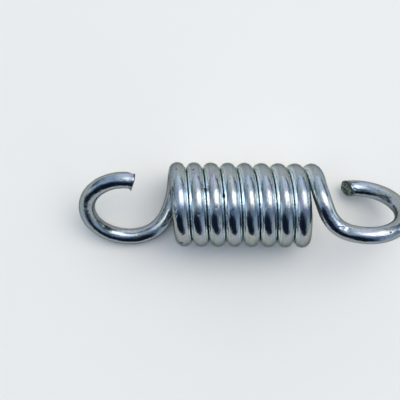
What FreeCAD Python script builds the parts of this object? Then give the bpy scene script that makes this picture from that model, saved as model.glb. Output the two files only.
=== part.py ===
"""Extension spring of round steel wire: a close-wound coil with an open hook at each end.

The coil's axis lies along X and the spring lies on the plane Z = 0 as it comes to rest,
on the underside of its coil and on one hook. The two ends are one shape, a half turn apart.
All lengths are in millimetres and all angles in degrees.
"""
import FreeCAD, Part
import math
import os

from FreeCAD import Placement, Rotation, Vector

# Wire and coil
wire_diameter = 4.0
coil_outside_diameter = 20.4
coil_turns = 8.287
turn_gap = 0.03          # clear space between one turn and the next

# Hooks, each a round loop in a plane that holds the coil's axis
loop_inside_diameter = 15.5
loop_reach = 11.45       # along the axis, from the end of the coil to the middle of the loop
loop_offset = 1.9        # middle of the loop from the axis, away from the hook's free end
loop_turn = -101.6       # round the axis, from the end of the coil to the hook's free side
loop_start = -115.4      # round the loop, from its far point: where the crossover meets it
loop_end = 101.8         # round the loop, from its far point: where the wire is cut

# Cropped ends
crop_slant = 14.0        # the cut leans towards the inside of the loop
crop_edge_radius = 0.25

wire_radius = wire_diameter / 2
coil_radius = coil_outside_diameter / 2 - wire_radius
loop_radius = loop_inside_diameter / 2 + wire_radius

# The turns lean, so their spacing along the axis is a little more than across the wire
spacing = wire_diameter + turn_gap
pitch = spacing / math.sqrt(1 - (spacing / (2 * math.pi * coil_radius)) ** 2)

along = Vector(1, 0, 0)


def around(angle):
    """Unit vector square to the coil's axis, turned from +Y towards +Z."""
    turn = math.radians(angle)
    return Vector(0, math.cos(turn), math.sin(turn))


def coil_point(angle):
    """Middle of the wire on the coil, at an angle counted from the coil's middle turn."""
    return along * (pitch * angle / 360) + around(angle) * coil_radius


def coil_heading(angle):
    """Direction of the wire on the coil, with the angle growing."""
    step = along * (pitch / (2 * math.pi)) + around(angle + 90) * coil_radius
    return step.normalize()


def disc(point, heading):
    """The wire's section at a point, square to the wire."""
    circle = Part.makeCircle(wire_radius, point, heading)
    return Part.Face(Part.Wire(circle))


def coil():
    """The close-wound turns, swept along a right-hand helix about X."""
    half = coil_turns * 180
    path = Part.makeHelix(pitch, pitch * coil_turns, coil_radius)
    lay_along_x = Rotation(Vector(1, 1, 1), 120)
    path.Placement = Placement(along * (-pitch * coil_turns / 2), Rotation(along, -half) * lay_along_x)
    section = disc(coil_point(-half), coil_heading(-half)).OuterWire
    return Part.Wire(path.Edges).makePipeShell([section], True, True)


def bend(point, heading, target):
    """Wire that leaves a point along a heading and curves in one arc to the target."""
    chord = target - point
    angle = 2 * chord.getAngle(heading)
    axis = heading.cross(chord).normalize()
    inward = axis.cross(heading)
    radius = chord.Length / (2 * math.sin(angle / 2))
    return disc(point, heading).revolve(point + inward * radius, axis, math.degrees(angle))


def crossover(start, start_heading, end, end_heading):
    """Two equal-legged tangent arcs that carry the wire from the coil across to the loop."""
    span = end - start
    both = start_heading + end_heading
    spread = 2 * (1 - start_heading.dot(end_heading))
    lean = span.dot(both)
    leg = (math.sqrt(lean ** 2 + spread * span.dot(span)) - lean) / spread
    first_corner = start + start_heading * leg
    second_corner = end - end_heading * leg
    middle = (first_corner + second_corner) / 2
    middle_heading = (second_corner - first_corner).normalize()
    return [bend(start, start_heading, middle), bend(middle, middle_heading, end)]


def crop(tip, heading, inward):
    """Block that takes off the wire past its slanted end."""
    lean = math.radians(crop_slant)
    facing = heading * math.cos(lean) + inward * math.sin(lean)
    side = 4 * wire_diameter
    block = Part.makeBox(side, side, side, Vector(-side / 2, -side / 2, 0))
    block.Placement = Placement(tip, Rotation(Vector(0, 0, 1), facing))
    return block


def hook(end_angle, forward):
    """Crossover and loop at one end of the coil; forward is 1 at the right end and -1 at the left."""
    start = coil_point(end_angle)
    start_heading = coil_heading(end_angle) * forward
    ahead = along * forward
    free_side = around(end_angle + loop_turn * forward)
    centre = along * start.x + ahead * loop_reach - free_side * loop_offset

    def outward(angle):
        turn = math.radians(angle)
        return ahead * math.cos(turn) + free_side * math.sin(turn)

    def heading(angle):
        return outward(angle + 90)

    entry = centre + outward(loop_start) * loop_radius
    tip = centre + outward(loop_end) * loop_radius
    spare = math.degrees(wire_radius / loop_radius)
    sweep = loop_end + spare - loop_start
    loop = disc(entry, heading(loop_start)).revolve(centre, ahead.cross(free_side), sweep)
    loop = loop.cut(crop(tip, heading(loop_end), outward(loop_end) * -1))
    cut_face = min(loop.Faces, key=lambda face: face.CenterOfMass.distanceToPoint(tip))
    loop = loop.makeFillet(crop_edge_radius, cut_face.Edges)
    return crossover(start, start_heading, entry, heading(loop_start)) + [loop]


def lie_down(spring):
    """Roll the spring about its axis until its coil and its left loop lie level, then set it on Z = 0."""
    loop_depth = loop_radius + loop_offset
    left_low_side = around(-coil_turns * 180 - loop_turn) * -1
    low_angle = math.degrees(math.atan2(left_low_side.z, left_low_side.y))
    rest_angle = math.degrees(math.asin(min(1, coil_radius / loop_depth))) - 180
    spring.rotate(Vector(), along, rest_angle - low_angle)
    spring.translate(Vector(0, 0, -spring.optimalBoundingBox().ZMin))
    return spring


def extension_spring():
    half = coil_turns * 180
    pieces = hook(half, 1) + hook(-half, -1)
    return lie_down(coil().fuse(pieces).removeSplitter())


os.makedirs("parts", exist_ok=True)
extension_spring().exportStep("parts/extension_spring.step")
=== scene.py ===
"""A close-wound hook spring of zinc-plated wire, dressed over its frame and set in a plain studio."""

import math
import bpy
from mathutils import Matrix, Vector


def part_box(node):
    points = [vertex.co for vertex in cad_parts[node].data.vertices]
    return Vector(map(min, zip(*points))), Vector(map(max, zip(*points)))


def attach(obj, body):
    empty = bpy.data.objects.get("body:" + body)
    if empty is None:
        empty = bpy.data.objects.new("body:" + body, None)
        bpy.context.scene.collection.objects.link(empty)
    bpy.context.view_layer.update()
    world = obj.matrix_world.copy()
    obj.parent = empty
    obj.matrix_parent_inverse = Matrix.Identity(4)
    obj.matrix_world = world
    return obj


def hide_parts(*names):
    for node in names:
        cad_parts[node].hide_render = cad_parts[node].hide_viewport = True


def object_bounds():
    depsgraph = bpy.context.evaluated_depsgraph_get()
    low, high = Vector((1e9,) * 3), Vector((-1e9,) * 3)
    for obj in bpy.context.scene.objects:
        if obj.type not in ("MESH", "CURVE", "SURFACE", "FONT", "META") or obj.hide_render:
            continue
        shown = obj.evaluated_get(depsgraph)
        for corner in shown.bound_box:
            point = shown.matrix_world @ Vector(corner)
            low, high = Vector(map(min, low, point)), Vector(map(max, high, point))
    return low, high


bl_info = {
    "name": "Hook spring",
    "version": (1, 0, 0),
    "blender": (4, 5, 0),
    "location": "View3D > Sidebar > Hook spring",
    "description": "Models a close-wound extension spring of zinc-plated wire and a plain studio for it",
    "category": "Object",
}

from typing import NamedTuple

import bmesh
import bpy
from bpy.props import FloatProperty, FloatVectorProperty, IntProperty, PointerProperty
from mathutils import Euler, Matrix, Vector, noise

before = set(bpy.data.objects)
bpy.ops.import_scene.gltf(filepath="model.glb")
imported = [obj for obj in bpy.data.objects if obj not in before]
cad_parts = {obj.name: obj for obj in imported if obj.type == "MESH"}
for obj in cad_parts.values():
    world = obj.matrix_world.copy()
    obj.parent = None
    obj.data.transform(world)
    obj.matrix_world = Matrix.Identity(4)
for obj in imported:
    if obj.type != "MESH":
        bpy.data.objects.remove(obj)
cad_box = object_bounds()

NODE = "extension_spring"
MM = 0.001
ALONG = Vector((1, 0, 0))


class SpringSizes(bpy.types.PropertyGroup):
    """Sizes of the wire, the coil and the hooks."""

    wire_diameter: FloatProperty(
        name="Wire", description="Diameter of the wire", default=4.0 * MM, unit="LENGTH"
    )
    coil_outside_diameter: FloatProperty(
        name="Coil", description="Outside diameter of the coil", default=20.4 * MM, unit="LENGTH"
    )
    coil_turns: FloatProperty(
        name="Turns", description="Turns of the coil between the two hooks", default=8.287
    )
    turn_gap: FloatProperty(
        name="Turn gap",
        description="Clear space between neighbouring turns",
        default=0.03 * MM,
        unit="LENGTH",
    )
    loop_inside_diameter: FloatProperty(
        name="Loop", description="Inside diameter of a hook's loop", default=15.5 * MM, unit="LENGTH"
    )
    loop_reach: FloatProperty(
        name="Loop reach",
        description="Along the axis, from the end of the coil to the middle of the loop",
        default=11.45 * MM,
        unit="LENGTH",
    )
    loop_offset: FloatProperty(
        name="Loop offset",
        description="Middle of the loop from the coil's axis, away from the free end",
        default=1.9 * MM,
        unit="LENGTH",
    )
    loop_turn: FloatProperty(
        name="Loop turn",
        description="Round the axis, from the end of the coil to the hook's free side",
        default=math.radians(-101.6),
        subtype="ANGLE",
    )
    loop_start: FloatProperty(
        name="Loop start",
        description="Round the loop from its far point, where the crossover meets it",
        default=math.radians(-115.4),
        subtype="ANGLE",
    )
    loop_end: FloatProperty(
        name="Loop end",
        description="Round the loop from its far point, where the wire is cropped",
        default=math.radians(101.8),
        subtype="ANGLE",
    )
    right_slant: FloatProperty(
        name="Right slant",
        description="Lean of the right end's cut into the loop",
        default=math.radians(21),
        subtype="ANGLE",
    )
    left_slant: FloatProperty(
        name="Left slant",
        description="Lean of the left end's cut into the loop",
        default=math.radians(5),
        subtype="ANGLE",
    )
    crop_edge: FloatProperty(
        name="Crop edge", description="Rounding of the cropped end's rim", default=0.25 * MM, unit="LENGTH"
    )
    outer_flat: FloatProperty(
        name="Outer flat",
        description="Depth of the flat that the cutter pressed beside a hook's end",
        default=0.45 * MM,
        unit="LENGTH",
    )
    right_flat_turn: FloatProperty(
        name="Right flat",
        description="Round the wire, from inside the right loop to the flat",
        default=math.radians(180),
        subtype="ANGLE",
    )
    left_flat_turn: FloatProperty(
        name="Left flat",
        description="Round the wire, from inside the left loop to the flat",
        default=math.radians(135),
        subtype="ANGLE",
    )
    right_burr: FloatProperty(
        name="Right burr",
        description="Lip that cropping left inside the right hook",
        default=0.12 * MM,
        unit="LENGTH",
    )
    left_burr: FloatProperty(
        name="Left burr",
        description="Lip that cropping left inside the left hook",
        default=0.75 * MM,
        unit="LENGTH",
    )
    fracture: FloatProperty(
        name="Fracture",
        description="Roughness of the broken face at a cropped end",
        default=0.13 * MM,
        unit="LENGTH",
    )
    flare: FloatProperty(
        name="Flare",
        description="Spread that cropping left round the wire's ends",
        default=0.08 * MM,
        unit="LENGTH",
    )
    waviness: FloatProperty(
        name="Waviness",
        description="Unevenness that bending leaves on the wire",
        default=0.03 * MM,
        unit="LENGTH",
    )
    ring_points: IntProperty(name="Ring points", description="Points round the wire", default=48, min=12)
    ring_step: FloatProperty(
        name="Ring step",
        description="Space between rings of points along the wire",
        default=0.8 * MM,
        unit="LENGTH",
    )


class WireFinish(bpy.types.PropertyGroup):
    """Colours of the plated wire and of its bare ends; the two seam colours are painted light that lifts the
    shade between the turns.
    """

    plate_grey: FloatVectorProperty(
        name="Plate",
        description="Zinc plate, plain",
        default=(0.385, 0.405, 0.37),
        subtype="COLOR",
        min=0,
        max=1,
    )
    plate_blue: FloatVectorProperty(
        name="Blue bloom",
        description="Zinc plate, bluish",
        default=(0.33, 0.395, 0.45),
        subtype="COLOR",
        min=0,
        max=1,
    )
    plate_violet: FloatVectorProperty(
        name="Violet bloom",
        description="Zinc plate, violet",
        default=(0.385, 0.37, 0.45),
        subtype="COLOR",
        min=0,
        max=1,
    )
    plate_streak: FloatVectorProperty(
        name="Streaks",
        description="Dull draw lines in the plate",
        default=(0.25, 0.28, 0.30),
        subtype="COLOR",
        min=0,
        max=1,
    )
    plate_glance: FloatVectorProperty(
        name="Glance",
        description="Tint of the plate where it is seen along its surface",
        default=(0.36, 0.40, 0.37),
        subtype="COLOR",
        min=0,
        max=1,
    )
    # painted light: plate beside the seams made brighter, so the shade between the turns reads lighter
    seam_painted_light: FloatVectorProperty(
        name="Seam",
        description="Unrubbed plate beside the seams",
        default=(0.55, 0.62, 0.645),
        subtype="COLOR",
        min=0,
        max=1,
    )
    # painted light: plate deep in the seams made nearly white, so the shade between the turns reads lighter
    seam_deep_painted_light: FloatVectorProperty(
        name="Seam, deep",
        description="Unrubbed plate deep in the seams",
        default=(0.90, 0.96, 0.98),
        subtype="COLOR",
        min=0,
        max=1,
    )
    pit_dark: FloatVectorProperty(
        name="Pits",
        description="Small pits in the plate",
        default=(0.05, 0.055, 0.06),
        subtype="COLOR",
        min=0,
        max=1,
    )
    crop_green: FloatVectorProperty(
        name="Cropped end",
        description="Bare steel of the ends",
        default=(0.24, 0.30, 0.26),
        subtype="COLOR",
        min=0,
        max=1,
    )
    crop_dark: FloatVectorProperty(
        name="Cropped end, deep",
        description="Hollows of the ends",
        default=(0.09, 0.115, 0.10),
        subtype="COLOR",
        min=0,
        max=1,
    )


class StudioLook(bpy.types.PropertyGroup):
    """Floor, lamp and camera."""

    floor_color: FloatVectorProperty(
        name="Floor",
        description="Colour of the floor",
        default=(0.96, 0.91, 0.82),
        subtype="COLOR",
        min=0,
        max=1,
    )
    floor_reach: FloatProperty(
        name="Floor reach", description="Middle of the floor to its edge", default=4.0, unit="LENGTH"
    )
    lamp_power: FloatProperty(
        name="Lamp", description="Power of the lamp overhead", default=0.36, unit="POWER"
    )
    lamp_distance: FloatProperty(
        name="Lamp distance", description="Lamp from the middle of the spring", default=0.6, unit="LENGTH"
    )
    lamp_diameter: FloatProperty(
        name="Lamp size", description="Diameter of the lamp", default=0.3, unit="LENGTH"
    )
    camera_place: FloatVectorProperty(
        name="Camera",
        description="Place of the camera, straight above the spring",
        default=(-12.39 * MM, 1.06 * MM, 175.87 * MM),
        subtype="TRANSLATION",
    )
    camera_lean: FloatProperty(
        name="Camera lean",
        description="Lean of the camera about Y",
        default=math.radians(-0.66),
        subtype="ANGLE",
    )
    camera_turn: FloatProperty(
        name="Camera turn",
        description="Turn of the camera about its view",
        default=math.radians(0.6),
        subtype="ANGLE",
    )
    camera_lens: FloatProperty(
        name="Lens", description="Focal length on a 36 mm frame", default=61.78, unit="CAMERA"
    )


class Mark(NamedTuple):
    """A small mark that handling or tools left, by its place along and round the wire.

    Lengths are in millimetres. The turn is in degrees, from the side that faces outwards on the coil
    towards its right end.
    """

    place: float
    turn: float
    along: float
    across: float
    depth: float
    rough: float
    dark: float


MARKS = (
    Mark(441.4, 12, 1.3, 1.3, 0.10, 1.3, 0.0),    # scuffs where the right crossover was bent
    Mark(443.2, 4, 1.1, 0.9, 0.08, 1.3, 0.0),
    Mark(478.7, 48, 1.5, 0.26, 0.05, 0.3, 0.85),  # shallow groove by the right tip, coloured dark
    Mark(478.9, 102, 0.9, 0.4, 0.06, 1.0, 0.0),   # small scuff below it
    Mark(452.1, -8, 0.34, 0.34, 0.04, 0.0, 1.0),  # dot on the right loop
    Mark(18.0, -48, 0.9, 0.4, 0.08, 1.0, 0.7),    # nicks where the first turn was formed
    Mark(21.9, -44, 1.0, 0.6, 0.16, 1.3, 0.3),
    Mark(22.9, -38, 0.7, 0.5, 0.14, 1.3, 0.3),
    Mark(74.6, 4, 0.45, 0.5, 0.06, 0.8, 0.0),     # specks on the second, third and fourth turns
    Mark(125.0, 8, 0.6, 0.7, 0.012, 1.2, 0.0),
    Mark(177.4, -4, 0.9, 0.8, 0.02, 1.2, 0.0),
    Mark(68.9, 50, 1.2, 0.8, 0.12, 1.2, 0.6),     # scratch beside a seam
    Mark(69.5, 74, 0.6, 0.5, 0.05, 0.5, 0.9),
    Mark(122.5, 73, 0.7, 0.5, 0.04, 0.5, 0.9),    # chip in a seam
    Mark(13.3, -13, 0.35, 0.35, 0.03, 0.0, 0.8),  # pits on the first turns
    Mark(65.0, -15, 0.35, 0.35, 0.03, 0.0, 0.8),
    Mark(30.2, -13, 0.7, 0.6, 0.04, 1.0, 0.8),
)
MARK_DIVISIONS = ((0.5, 5), (0.2, 1))  # edges over so many millimetres get so many cuts
MARK_ROOM_ALONG = 0.8                  # millimetres that are divided past a mark
MARK_ROOM_ACROSS = 0.3
MARK_EDGE = (0.45, 1.0)                # shares of a mark's size over which it runs out
MARK_REACH = 1.5                       # share past which even a torn mark leaves nothing
TEAR_REPEATS = 1.7                     # grain of a torn mark, over its width
TEAR_IN_EDGE = 0.4
TEAR_IN_DEPTH = 2.2


class Sag(NamedTuple):
    """A stretch that bending left lower than a plain arc, by its places along the wire, in millimetres."""

    start: float
    lowest: float
    end: float
    depth: float


SAGS = (
    Sag(437.0, 442.3, 456.0, 0.55),  # right crossover
    Sag(-4.5, -11.0, -20.0, 0.80),   # left crossover
    Sag(-28.8, -41.2, -200, 0.80),   # free arm of the left hook, low as far as its tip
)

# Unevenness of the wire: repeats per millimetre along and across, and a shift so that the two differ
SLOW_WAVES = (0.22, 0.45, 0)
QUICK_WAVES = (0.6, 1.2, 40)
QUICK_SHARE = 0.5
WAVE_CREST = 0.75  # taken off, so that the wire keeps within its true size
HOOK_SHARE = 1.6   # the hooks are formed after the coil and are less even

# Cropped ends: heights are along the wire from the cut, and shares are of the wire's radius
END_REACH = 1.6
END_CUTS = 6
RIM_SPACING = 0.12 * MM                # rim points closer than this become one
RIM_SHARES = (0.75, 1.0)
RIM_TEETH = 0.8 * MM                   # grain of the stain's ragged edge
TEETH_EDGE = (-0.3, 0.0)
RIM_STAIN = 0.95
RIM_CALM = 0.6                         # how much smoother the rim is than the face
LIP_SHARES = (0.55, 0.98)
LIP_RISE = 0.25                        # along the wire, for each step inwards
LIP_RAGGED = 0.5
COARSE_GRAIN = 1.1 * MM
FINE_GRAIN = 0.5 * MM
FINE_SHARE = 0.6
FLAT_HEIGHTS = (-2.0 * MM, -0.3 * MM)
BREAK_HEIGHTS = (-0.8 * MM, -0.05 * MM)
FLARE_HEIGHTS = (-0.6 * MM, -0.2 * MM)
STAIN_HEIGHTS = (-0.7 * MM, -0.45 * MM)

LIFT = 0.02 * MM                       # keeps the wire just clear of the frame's lowest point

# Plate, in millimetres on the straightened wire
# Seams: the band across the wire where the plate is painted lighter, to lift the shade between the turns
SEAM_EDGE = 1.0                        # across the wire, from its middle
SEAM_FULL = 1.45
SEAM_DEEP = 1.75
SEAM_FADE = 3                          # along the wire, where a seam begins or ends
COIL_FADE = (4, 1)                     # past the ends of the coil
PIT_REPEATS = 0.55                     # cells for each millimetre
PIT_EDGE = (0.13, 0.04)
PIT_RARITY = 0.7                       # share of the cells that have no pit


class Glow(NamedTuple):
    """A soft round patch of the room, by how far it stands from straight overhead, in degrees."""

    right: float
    back: float
    inner: float
    outer: float
    color: tuple


ROOM_GREY = (0.26, 0.37, 0.54, 1)
ROOM = (
    Glow(-20, 84, 34, 66, (0.70, 0.82, 0.96, 1)),   # pale wall behind
    Glow(8, 68, 12, 34, (1.12, 1.22, 1.44, 1)),     # its brightest part
    Glow(57, 80, 10, 30, (0.05, 0.09, 0.14, 1)),    # shaded corner behind, right
    Glow(76, 50, 4, 20, (0.12, 0.20, 0.32, 1)),
    Glow(-82, 42, 10, 28, (0.05, 0.11, 0.15, 1)),   # shaded corner behind, left
    Glow(-38, 6, 10, 28, (0.60, 0.70, 0.90, 1)),    # grey ceiling, left
    Glow(-67, -16, 8, 24, (0.84, 1.06, 1.30, 1)),   # pale wall, left
    Glow(-22, -66, 32, 58, (0.01, 0.02, 0.04, 1)),  # dark wall in front
    Glow(56, -46, 10, 26, (0.50, 0.60, 0.74, 1)),   # grey wall, right
    Glow(80, 20, 4, 15, (1.80, 2.10, 2.30, 1)),     # low window, right
    Glow(5, 20, 8, 33, (1.30, 1.42, 1.70, 1)),      # glow round the lamp
    Glow(36, 20, 8, 33, (1.30, 1.42, 1.70, 1)),
    Glow(10, 21, 6, 25, (2.50, 2.50, 2.50, 1)),
    Glow(32, 21, 6, 25, (2.50, 2.50, 2.50, 1)),
)
HORIZON = (0.735, 0.765, 0.80, 1)
HORIZON_HEIGHTS = (math.sin(math.radians(3)), 0.02)  # where the room turns into the horizon, as sines
LAMP_RIGHT = 20                                      # degrees from straight overhead
LAMP_BACK = 22
FRAME_WIDTH = 36                                     # of the camera, in millimetres


def around(angle):
    """Unit vector square to the coil's axis, turned from +Y towards +Z."""
    return Vector((0, math.cos(angle), math.sin(angle)))


def overhead(right, back):
    """Direction that leans from straight up, by degrees to the right and to the back."""
    lean = math.radians(math.hypot(right, back))
    turn = math.atan2(back, right)
    return Vector((math.sin(lean) * math.cos(turn), math.sin(lean) * math.sin(turn), math.cos(lean)))


def ramp(value, low, high):
    """Smooth step from 0 at low to 1 at high."""
    part = min(1, max(0, (value - low) / (high - low)))
    return part * part * (3 - 2 * part)


def waves(place, along, across, shift):
    """Smooth noise on the straightened wire, by its repeats per millimetre."""
    spot = Vector((place.x * along, place.y * across, place.z * across))
    return noise.noise(spot + ALONG * shift)


def add_object(context, name, data):
    """New object of a mesh, lamp or camera, linked into the scene."""
    made = bpy.data.objects.new(name, data)
    context.collection.objects.link(made)
    return made


class WireMaker:
    """Draws the wire as one tube by spinning a ring of points along the coil and both hooks.

    Every point also keeps its place on the straightened wire: along it, outwards from the coil and
    along the coil's axis.
    """

    def __init__(self, sizes):
        self.sizes = sizes
        self.wire_radius = sizes.wire_diameter / 2
        self.coil_radius = sizes.coil_outside_diameter / 2 - self.wire_radius
        self.loop_radius = sizes.loop_inside_diameter / 2 + self.wire_radius
        spacing = sizes.wire_diameter + sizes.turn_gap
        self.pitch = spacing / math.sqrt(1 - (spacing / (math.tau * self.coil_radius)) ** 2)
        self.half_turn = sizes.coil_turns * math.pi
        self.coil_length = sizes.coil_turns * math.hypot(self.pitch, math.tau * self.coil_radius)
        self.bm = bmesh.new()
        self.straight = self.bm.verts.layers.float_vector.new("straight")
        self.stain = self.bm.verts.layers.float.new("stain")

    def coil_point(self, angle):
        """Middle of the wire on the coil, at an angle counted from the coil's middle turn."""
        return ALONG * (self.pitch * angle / math.tau) + around(angle) * self.coil_radius

    def coil_heading(self, angle):
        """Direction of the wire on the coil, with the angle growing."""
        step = ALONG * (self.pitch / math.tau) + around(angle + math.pi / 2) * self.coil_radius
        return step.normalized()

    def first_ring(self):
        """Ring of points at the left end of the coil."""
        start = self.coil_point(-self.half_turn)
        outwards = around(-self.half_turn)
        across = outwards.cross(self.coil_heading(-self.half_turn))
        turn = Matrix((outwards, across, outwards.cross(across))).transposed().to_4x4()
        made = bmesh.ops.create_circle(
            self.bm,
            segments=self.sizes.ring_points,
            radius=self.wire_radius,
            matrix=Matrix.Translation(start) @ turn,
        )
        for vert in made["verts"]:
            place = vert.co - start
            vert[self.straight] = Vector((0, place.dot(outwards), place.dot(across)))
        return made["verts"] + list({edge for vert in made["verts"] for edge in vert.link_edges})

    def carry(self, ring, along, centre, axis, angle, length, rise=0.0):
        """Spin the end ring on about an axis; returns the new end ring and its place along the wire."""
        steps = max(2, round(abs(length) / self.sizes.ring_step))
        known = len(self.bm.verts)
        spun = bmesh.ops.spin(
            self.bm, geom=ring, cent=centre, axis=axis, dvec=axis * (rise / steps), angle=angle, steps=steps
        )
        self.bm.verts.ensure_lookup_table()
        for number, vert in enumerate(self.bm.verts[known:]):
            passed = number // self.sizes.ring_points + 1
            vert[self.straight].x = along + length * passed / steps
        end = [part for part in spun["geom_last"] if not isinstance(part, bmesh.types.BMFace)]
        return end, along + length

    def bend(self, ring, along, point, heading, target, forward):
        """One arc that leaves a point along a heading and ends at the target."""
        chord = target - point
        angle = 2 * chord.angle(heading)
        axis = heading.cross(chord).normalized()
        radius = chord.length / (2 * math.sin(angle / 2))
        centre = point + axis.cross(heading) * radius
        return self.carry(ring, along, centre, axis, angle, forward * radius * angle)

    def coil(self, ring):
        """The close-wound turns, from the left end to the right."""
        rise = self.pitch * self.sizes.coil_turns
        start = ALONG * (-rise / 2)
        return self.carry(ring, 0.0, start, ALONG, 2 * self.half_turn, self.coil_length, rise)

    def hook(self, ring, along, forward):
        """Crossover and loop at one end; forward is 1 at the right end and -1 at the left.

        Returns where and how that end is to be cropped.
        """
        sizes = self.sizes
        end_angle = forward * self.half_turn
        start = self.coil_point(end_angle)
        heading = self.coil_heading(end_angle) * forward
        ahead = ALONG * forward
        free_side = around(end_angle + sizes.loop_turn * forward)
        centre = ALONG * start.x + ahead * sizes.loop_reach - free_side * sizes.loop_offset

        def outward(angle):
            return ahead * math.cos(angle) + free_side * math.sin(angle)

        def loop_heading(angle):
            return outward(angle + math.pi / 2)

        # The crossover is two tangent arcs with legs of one length
        entry = centre + outward(sizes.loop_start) * self.loop_radius
        entry_heading = loop_heading(sizes.loop_start)
        span = entry - start
        spread = 2 * (1 - heading.dot(entry_heading))
        lean = span.dot(heading + entry_heading)
        leg = (math.sqrt(lean**2 + spread * span.length_squared) - lean) / spread
        first_corner = start + heading * leg
        second_corner = entry - entry_heading * leg
        middle = (first_corner + second_corner) / 2
        middle_heading = (second_corner - first_corner).normalized()
        ring, along = self.bend(ring, along, start, heading, middle, forward)
        ring, along = self.bend(ring, along, middle, middle_heading, entry, forward)

        # The loop runs a little past its end, for the slanted cut
        spare = self.wire_radius / self.loop_radius
        sweep = sizes.loop_end + spare - sizes.loop_start
        self.carry(ring, along, centre, ahead.cross(free_side), sweep, forward * self.loop_radius * sweep)
        tip = centre + outward(sizes.loop_end) * self.loop_radius
        if forward > 0:
            look = sizes.right_slant, sizes.right_burr, sizes.right_flat_turn
        else:
            look = sizes.left_slant, sizes.left_burr, sizes.left_flat_turn
        return tip, loop_heading(sizes.loop_end), outward(sizes.loop_end) * -1, *look

    def near_faces(self, point, reach):
        """Faces whose middle is within reach of a point."""
        return [face for face in self.bm.faces if (face.calc_center_median() - point).length < reach]

    def crop(self, tip, heading, inward, slant, burr, flat_turn):
        """Cut the wire off at a slant, close the end, round its rim and roughen the broken face."""
        sizes = self.sizes
        facing = heading * math.cos(slant) + inward * math.sin(slant)
        near = self.near_faces(tip, 2 * sizes.wire_diameter)
        parts = set(near)
        for face in near:
            parts.update(face.verts)
            parts.update(face.edges)
        cut = bmesh.ops.bisect_plane(
            self.bm, geom=list(parts), dist=1e-7, plane_co=tip, plane_no=facing, clear_outer=True
        )
        rim_verts = [part for part in cut["geom_cut"] if isinstance(part, bmesh.types.BMVert)]

        # Rings that the cut came close to move back, to leave room for the rounded rim
        behind = {vert for face in near if face.is_valid for vert in face.verts} - set(rim_verts)
        for vert in behind:
            short = 2 * sizes.crop_edge - (tip - vert.co).dot(facing)
            if short > 0:
                vert.co -= heading * (short / heading.dot(facing))
        bmesh.ops.remove_doubles(self.bm, verts=rim_verts, dist=RIM_SPACING)
        rim_edges = {edge for vert in rim_verts if vert.is_valid for edge in vert.link_edges}
        rim = [edge for edge in rim_edges if edge.is_boundary]
        bmesh.ops.edgeloop_fill(self.bm, edges=rim, mat_nr=1)
        bmesh.ops.bevel(
            self.bm, geom=rim, offset=sizes.crop_edge, segments=3, profile=0.5, affect="EDGES", material=-1
        )
        end_face = max(self.near_faces(tip, self.wire_radius), key=lambda face: len(face.verts))
        middle = bmesh.ops.poke(self.bm, faces=[end_face])["verts"][0]
        bmesh.ops.subdivide_edges(self.bm, edges=list(middle.link_edges), cuts=END_CUTS)
        side = inward * math.cos(flat_turn) + heading.cross(inward) * math.sin(flat_turn)
        self.pinch_end(tip, facing, side)
        self.break_end(tip, facing, inward, burr)

    def end_points(self, tip):
        """Points of a cropped end, with their way from its middle."""
        for vert in self.bm.verts:
            place = vert.co - tip
            if place.length < END_REACH * self.wire_radius:
                yield vert, place

    def pinch_end(self, tip, facing, side):
        """Flat that the cutter's jaw pressed on one side; points move within the cut's plane."""
        level = side - facing * side.dot(facing)
        level /= level.dot(side)
        for vert, place in self.end_points(tip):
            past = place.dot(side) - self.wire_radius + self.sizes.outer_flat
            vert.co -= level * max(0, past) * ramp(place.dot(facing), *FLAT_HEIGHTS)

    def break_end(self, tip, facing, inward, burr):
        """Fracture on the end face, a ragged rim and a lip drawn out on the inner side."""
        sizes = self.sizes
        for vert, place in self.end_points(tip):
            height = place.dot(facing)
            flat = place - facing * height
            at_end = ramp(height, *BREAK_HEIGHTS)
            if at_end == 0:
                continue
            coarse = noise.noise(vert.co / COARSE_GRAIN)
            fine = noise.noise(vert.co / FINE_GRAIN)
            at_rim = ramp(flat.length / self.wire_radius, *RIM_SHARES)
            grain = coarse + FINE_SHARE * fine * (1 - at_rim)
            broken = sizes.fracture * grain * (1 - RIM_CALM * at_rim) * at_end**4
            lip = ramp(flat.dot(inward) / self.wire_radius, *LIP_SHARES) * (1 + LIP_RAGGED * coarse)
            flare = sizes.flare * at_rim * ramp(height, *FLARE_HEIGHTS)
            vert.co += facing * (broken + LIP_RISE * at_end * burr * lip) + inward * (at_end * burr * lip)
            vert.co += flat.normalized() * flare
            teeth = ramp(noise.noise(vert.co / RIM_TEETH), *TEETH_EDGE)
            vert[self.stain] = RIM_STAIN * at_rim * ramp(height, *STAIN_HEIGHTS) * teeth

    def lie_down(self):
        """Roll the spring until its coil and its left loop lie level, and set it on the frame's foot."""
        low_side = around(-self.half_turn - self.sizes.loop_turn) * -1
        low_angle = math.atan2(low_side.z, low_side.y)
        depth = self.loop_radius + self.sizes.loop_offset
        rest_angle = math.asin(min(1, self.coil_radius / depth)) - math.pi
        turn = Matrix.Rotation(rest_angle - low_angle, 3, "X")
        bmesh.ops.rotate(self.bm, verts=self.bm.verts, cent=Vector(), matrix=turn)
        lowest = min(vert.co.z for vert in self.bm.verts)
        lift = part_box(NODE)[0].z + LIFT - lowest
        bmesh.ops.translate(self.bm, verts=self.bm.verts, vec=Vector((0, 0, lift)))

    def roughen(self):
        """The slight unevenness of bent wire, which makes its reflections wander."""
        depth = self.sizes.waviness
        for vert in self.bm.verts:
            place = vert[self.straight] / MM
            on_hook = place.x < 0 or place.x > self.coil_length / MM
            bent = HOOK_SHARE if on_hook else 1.0
            height = waves(place, *SLOW_WAVES) + QUICK_SHARE * waves(place, *QUICK_WAVES) - WAVE_CREST
            vert.co += vert.normal * depth * bent * height

    def lower(self, sag):
        """Let a stretch of the wire sag."""
        for vert in self.bm.verts:
            place = vert[self.straight].x / MM
            down = ramp(place, sag.start, sag.lowest)
            up_again = ramp(place, sag.lowest, sag.end)
            vert.co.z -= sag.depth * MM * down * (1 - up_again)

    def press(self, mark):
        """Divide the skin at a mark, where it isn't fine enough yet, and press the mark in."""

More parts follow.
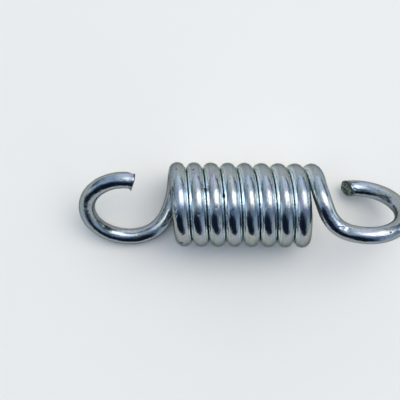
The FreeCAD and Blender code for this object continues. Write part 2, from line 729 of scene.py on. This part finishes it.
        def points():
            """Points about the mark, with their way from its middle along and round, in millimetres."""
            for vert in self.bm.verts:
                spot = vert[self.straight] / MM
                along = spot.x - mark.place
                if abs(along) < 2 * mark.along + 1:
                    turn = math.atan2(spot.z, spot.y) - math.radians(mark.turn)
                    yield vert, along, math.remainder(turn, math.tau) * self.wire_radius / MM

        for longest, cuts in MARK_DIVISIONS:
            self.bm.normal_update()
            edges = set()
            for vert, along, across in points():
                beside = abs(across) < mark.across + MARK_ROOM_ACROSS
                if beside and abs(along) < mark.along + MARK_ROOM_ALONG:
                    edges.update(edge for edge in vert.link_edges if edge.calc_length() > longest * MM)
            bmesh.ops.subdivide_edges(
                self.bm, edges=list(edges), cuts=cuts, use_grid_fill=True, smooth=1.0, smooth_falloff="LINEAR"
            )
        self.bm.normal_update()
        for vert, along, across in points():
            part = math.hypot(along / mark.along, across / mark.across)
            if part > MARK_REACH:
                continue
            torn = mark.rough * noise.noise(vert[self.straight] / MM * (TEAR_REPEATS / mark.across))
            inside = 1 - ramp(part + TEAR_IN_EDGE * torn, *MARK_EDGE)
            vert.co -= vert.normal * mark.depth * MM * inside * (1 + TEAR_IN_DEPTH * torn)
            vert[self.stain] = max(vert[self.stain], mark.dark * inside)

    def mesh(self):
        """The whole wire, as it lies."""
        start = self.first_ring()
        end, along = self.coil(start)
        cuts = [self.hook(end, along, 1), self.hook(start, 0.0, -1)]
        bmesh.ops.recalc_face_normals(self.bm, faces=self.bm.faces)
        self.bm.normal_update()
        self.roughen()
        for cut in cuts:
            self.crop(*cut)
        self.lie_down()
        for sag in SAGS:
            self.lower(sag)
        bmesh.ops.recalc_face_normals(self.bm, faces=self.bm.faces)
        for mark in MARKS:
            self.press(mark)
        for face in self.bm.faces:
            face.smooth = True
        mesh = bpy.data.meshes.new("spring_wire")
        self.bm.to_mesh(mesh)
        self.bm.free()
        return mesh


def set_inputs(tree, node, inputs):
    """Give a node's inputs values or links."""
    for key, value in inputs.items():
        if isinstance(value, bpy.types.NodeSocket):
            tree.links.new(value, node.inputs[key])
        else:
            node.inputs[key].default_value = value


def add_node(tree, kind, inputs=None, **settings):
    """Add a node, set it and give its inputs values or links."""
    node = tree.nodes.new(kind)
    for name, value in settings.items():
        setattr(node, name, value)
    set_inputs(tree, node, inputs or {})
    return node


def add_math(tree, operation, first, second=0.0):
    """One sum on two values."""
    return add_node(tree, "ShaderNodeMath", {0: first, 1: second}, operation=operation).outputs[0]


def add_product(tree, first, second):
    """Two values multiplied."""
    return add_math(tree, "MULTIPLY", first, second)


def add_range(tree, value, low, high, to_low=0.0, to_high=1.0):
    """Smooth step of a value from one range to another."""
    inputs = {"Value": value, "From Min": low, "From Max": high, "To Min": to_low, "To Max": to_high}
    return add_node(tree, "ShaderNodeMapRange", inputs, interpolation_type="SMOOTHSTEP").outputs["Result"]


def add_mix(tree, factor, first, second):
    """Mix of two colours."""
    inputs = {"Factor": factor, "A": first, "B": second}
    return add_node(tree, "ShaderNodeMix", inputs, data_type="RGBA").outputs["Result"]


def add_noise(tree, place, stretch, detail):
    """Noise that is stretched by its repeats per millimetre along, outwards and across."""
    mapped = add_node(tree, "ShaderNodeMapping", {"Vector": place, "Scale": stretch}).outputs["Vector"]
    inputs = {"Vector": mapped, "Scale": 1.0, "Detail": detail, "Roughness": 0.6}
    return add_node(tree, "ShaderNodeTexNoise", inputs).outputs["Fac"]


def new_material(name):
    """New material, with its nodes and its shader."""
    material = bpy.data.materials.new(name)
    material.use_nodes = True
    return material, material.node_tree, material.node_tree.nodes["Principled BSDF"]


def zinc_plate(finish, turn, last):
    """Bright zinc plate on drawn wire: draw lines, a bluish bloom, small pits, and plate painted lighter by
    the seams to lift the shade between the turns.

    The length of a turn and the start of the last one are in millimetres along the wire. A seam lies
    on the left of the wire from the end of its first turn, and on the right until its last one starts.
    """
    material, tree, shader = new_material("zinc_plate")
    straight = add_node(tree, "ShaderNodeAttribute", attribute_name="straight").outputs["Vector"]
    stain = add_node(tree, "ShaderNodeAttribute", attribute_name="stain").outputs["Fac"]
    in_mm = {0: straight, "Scale": 1 / MM}
    place = add_node(tree, "ShaderNodeVectorMath", in_mm, operation="SCALE").outputs[0]
    parts = add_node(tree, "ShaderNodeSeparateXYZ", {0: place}).outputs
    along, across = parts["X"], parts["Z"]

    draw_lines = add_noise(tree, place, (0.16, 2.4, 2.4), 4)
    bloom = add_noise(tree, place, (0.16, 0.5, 0.5), 3)
    tint = add_noise(tree, place, (0.30, 0.9, 0.9), 4)
    grain = add_noise(tree, place, (2.0, 3.5, 3.5), 2)
    peel = add_noise(tree, place, (0.9, 1.5, 1.5), 2)

    cells = {"Vector": place, "Scale": PIT_REPEATS}
    pit_cells = add_node(tree, "ShaderNodeTexVoronoi", cells, feature="F1").outputs
    cell_draw = add_node(tree, "ShaderNodeSeparateColor", {0: pit_cells["Color"]}).outputs[0]
    is_pitted = add_math(tree, "GREATER_THAN", cell_draw, PIT_RARITY)
    pits = add_product(tree, add_range(tree, pit_cells["Distance"], *PIT_EDGE), is_pitted)
    marks = add_math(tree, "MAXIMUM", pits, stain)

    # painted light: masks of the seams, where brighter plate lifts the shade between the turns
    left_side = add_product(
        tree,
        add_range(tree, across, -SEAM_EDGE, -SEAM_FULL),
        add_range(tree, along, turn - SEAM_FADE, turn + SEAM_FADE),
    )
    right_side = add_product(
        tree,
        add_range(tree, across, SEAM_EDGE, SEAM_FULL),
        add_range(tree, along, last + SEAM_FADE, last - SEAM_FADE),
    )
    far, near = COIL_FADE
    on_coil = add_product(
        tree,
        add_range(tree, along, -far, -near),
        add_range(tree, along, last + turn + far, last + turn + near),
    )
    seam = add_product(tree, on_coil, add_math(tree, "MAXIMUM", left_side, right_side))
    off_middle = add_math(tree, "ABSOLUTE", across)
    deep_seam_painted_light = add_product(tree, seam, add_range(tree, off_middle, SEAM_FULL, SEAM_DEEP))

    layers = (
        (add_range(tree, bloom, 0.40, 0.62), finish.plate_blue),
        (add_range(tree, tint, 0.50, 0.68), finish.plate_violet),
        (add_range(tree, draw_lines, 0.46, 0.28), finish.plate_streak),
        (add_range(tree, peel, 0.44, 0.28), finish.plate_streak),
        (add_range(tree, grain, 0.42, 0.26), finish.plate_streak),
        (seam, finish.seam_painted_light),
        (deep_seam_painted_light, finish.seam_deep_painted_light),
        (marks, finish.pit_dark),
    )
    color = (*finish.plate_grey, 1)
    for cover, layer_color in layers:
        color = add_mix(tree, cover, color, (*layer_color, 1))

    rough = add_range(tree, draw_lines, 0.30, 0.70, 0.19, 0.09)
    rough = add_math(tree, "ADD", rough, add_product(tree, marks, 0.3))

    relief = add_product(tree, draw_lines, 0.6)
    for pattern, share in ((grain, 0.4), (peel, 1.4)):
        relief = add_math(tree, "ADD", relief, add_product(tree, pattern, share))
    relief = add_math(tree, "SUBTRACT", relief, pits)
    bump = add_node(tree, "ShaderNodeBump", {"Height": relief, "Strength": 0.8, "Distance": 0.05 * MM})

    plate = {
        "Base Color": color,
        "Metallic": 1.0,
        "Roughness": rough,
        "Specular Tint": (*finish.plate_glance, 1),
        "Normal": bump.outputs["Normal"],
    }
    set_inputs(tree, shader, plate)
    return material


def cropped_steel(finish):
    """Bare sheared end of the wire, torn and dull."""
    material, tree, shader = new_material("cropped_steel")
    grain = {
        "Vector": add_node(tree, "ShaderNodeTexCoord").outputs["Object"],
        "Rotation": (0, 0, math.radians(70)),
        "Scale": (0.5 / MM, 2.2 / MM, 1.4 / MM),
    }
    turned = add_node(tree, "ShaderNodeMapping", grain).outputs["Vector"]
    torn = {"Vector": turned, "Scale": 1.0, "Detail": 4.0}
    tear = add_node(tree, "ShaderNodeTexNoise", torn).outputs["Fac"]
    bump = add_node(tree, "ShaderNodeBump", {"Height": tear, "Strength": 0.6, "Distance": 0.12 * MM})
    hollows = add_range(tree, tear, 0.38, 0.62)
    steel = {
        "Base Color": add_mix(tree, hollows, (*finish.crop_dark, 1), (*finish.crop_green, 1)),
        "Metallic": 1.0,
        "Roughness": add_range(tree, tear, 0.3, 0.7, 0.6, 0.4),
        "Normal": bump.outputs["Normal"],
    }
    set_inputs(tree, shader, steel)
    return material


class SPRING_OT_wire(bpy.types.Operator):
    """Model the wire of the spring with its plated skin and its bare cropped ends"""

    bl_idname = "spring.wire"
    bl_label = "Spring wire"

    def execute(self, context):
        maker = WireMaker(context.scene.spring_sizes)
        mesh = maker.mesh()
        finish = context.scene.spring_finish
        turn = maker.coil_length / maker.sizes.coil_turns
        mesh.materials.append(zinc_plate(finish, turn / MM, (maker.coil_length - turn) / MM))
        mesh.materials.append(cropped_steel(finish))
        wire = add_object(context, "spring_wire", mesh)
        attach(wire, "root")
        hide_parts(NODE)
        return {"FINISHED"}


class SPRING_OT_studio(bpy.types.Operator):
    """Lay a pale floor, light it softly from above and place the camera"""

    bl_idname = "spring.studio"
    bl_label = "Studio"

    def execute(self, context):
        look = context.scene.spring_studio
        self.floor(context, look)
        self.room(context)
        self.lamp(context, look)
        self.camera(context, look)
        context.scene.view_settings.view_transform = "Standard"
        return {"FINISHED"}

    def floor(self, context, look):
        """Plain pale floor under the spring."""
        bm = bmesh.new()
        bmesh.ops.create_grid(bm, x_segments=1, y_segments=1, size=look.floor_reach)
        bmesh.ops.translate(bm, verts=bm.verts, vec=Vector((0, 0, cad_box[0].z)))
        mesh = bpy.data.meshes.new("floor")
        bm.to_mesh(mesh)
        bm.free()
        material, tree, shader = new_material("pale_floor")
        matt = {"Base Color": (*look.floor_color, 1), "Roughness": 0.9, "Specular IOR Level": 0.1}
        set_inputs(tree, shader, matt)
        mesh.materials.append(material)
        floor = add_object(context, "floor", mesh)

    def room(self, context):
        """Soft light of a plain room, one patch over another."""
        world = bpy.data.worlds.new("room")
        world.use_nodes = True
        context.scene.world = world
        tree = world.node_tree
        way = add_node(tree, "ShaderNodeTexCoord").outputs["Generated"]
        color = ROOM_GREY
        for glow in ROOM:
            inputs = {0: way, 1: overhead(glow.right, glow.back)}
            near = add_node(tree, "ShaderNodeVectorMath", inputs, operation="DOT_PRODUCT").outputs["Value"]
            edge = math.cos(math.radians(glow.outer))
            patch = add_range(tree, near, edge, math.cos(math.radians(glow.inner)))
            color = add_mix(tree, patch, color, glow.color)
        height = add_node(tree, "ShaderNodeSeparateXYZ", {0: way}).outputs["Z"]
        color = add_mix(tree, add_range(tree, height, *HORIZON_HEIGHTS), color, HORIZON)
        tree.links.new(color, tree.nodes["Background"].inputs["Color"])

    def lamp(self, context, look):
        """Round soft lamp overhead, a little to the right and to the back."""
        light = bpy.data.lights.new("overhead_lamp", "AREA")
        light.shape = "DISK"
        light.size = look.lamp_diameter
        light.energy = look.lamp_power
        lamp = add_object(context, "overhead_lamp", light)
        way = overhead(LAMP_RIGHT, LAMP_BACK)
        lamp.location = way * look.lamp_distance
        lamp.rotation_euler = way.to_track_quat("Z", "Y").to_euler()

    def camera(self, context, look):
        """Camera that looks down on the spring."""
        lens = bpy.data.cameras.new("camera")
        lens.lens = look.camera_lens
        lens.sensor_width = FRAME_WIDTH
        lens.clip_start = 10 * MM
        camera = add_object(context, "camera", lens)
        camera.location = look.camera_place
        camera.rotation_euler = Euler((0, look.camera_lean, look.camera_turn))
        context.scene.camera = camera


class SPRING_PT_sidebar(bpy.types.Panel):
    """Sizes and steps of the hook spring"""

    bl_label = "Hook spring"
    bl_idname = "SPRING_PT_sidebar"
    bl_space_type = "VIEW_3D"
    bl_region_type = "UI"
    bl_category = "Hook spring"

    def draw(self, context):
        layout = self.layout
        scene = context.scene
        for group in (scene.spring_sizes, scene.spring_finish, scene.spring_studio):
            for name in group.__annotations__:
                layout.prop(group, name)
        layout.operator(SPRING_OT_wire.bl_idname)
        layout.operator(SPRING_OT_studio.bl_idname)


CLASSES = (SpringSizes, WireFinish, StudioLook, SPRING_OT_wire, SPRING_OT_studio, SPRING_PT_sidebar)


def register():
    for cls in CLASSES:
        bpy.utils.register_class(cls)
    bpy.types.Scene.spring_sizes = PointerProperty(type=SpringSizes)
    bpy.types.Scene.spring_finish = PointerProperty(type=WireFinish)
    bpy.types.Scene.spring_studio = PointerProperty(type=StudioLook)


def unregister():
    del bpy.types.Scene.spring_studio
    del bpy.types.Scene.spring_finish
    del bpy.types.Scene.spring_sizes
    for cls in reversed(CLASSES):
        bpy.utils.unregister_class(cls)


def main():
    register()
    bpy.ops.spring.wire()
    bpy.ops.spring.studio()


if __name__ == "__main__":
    main()
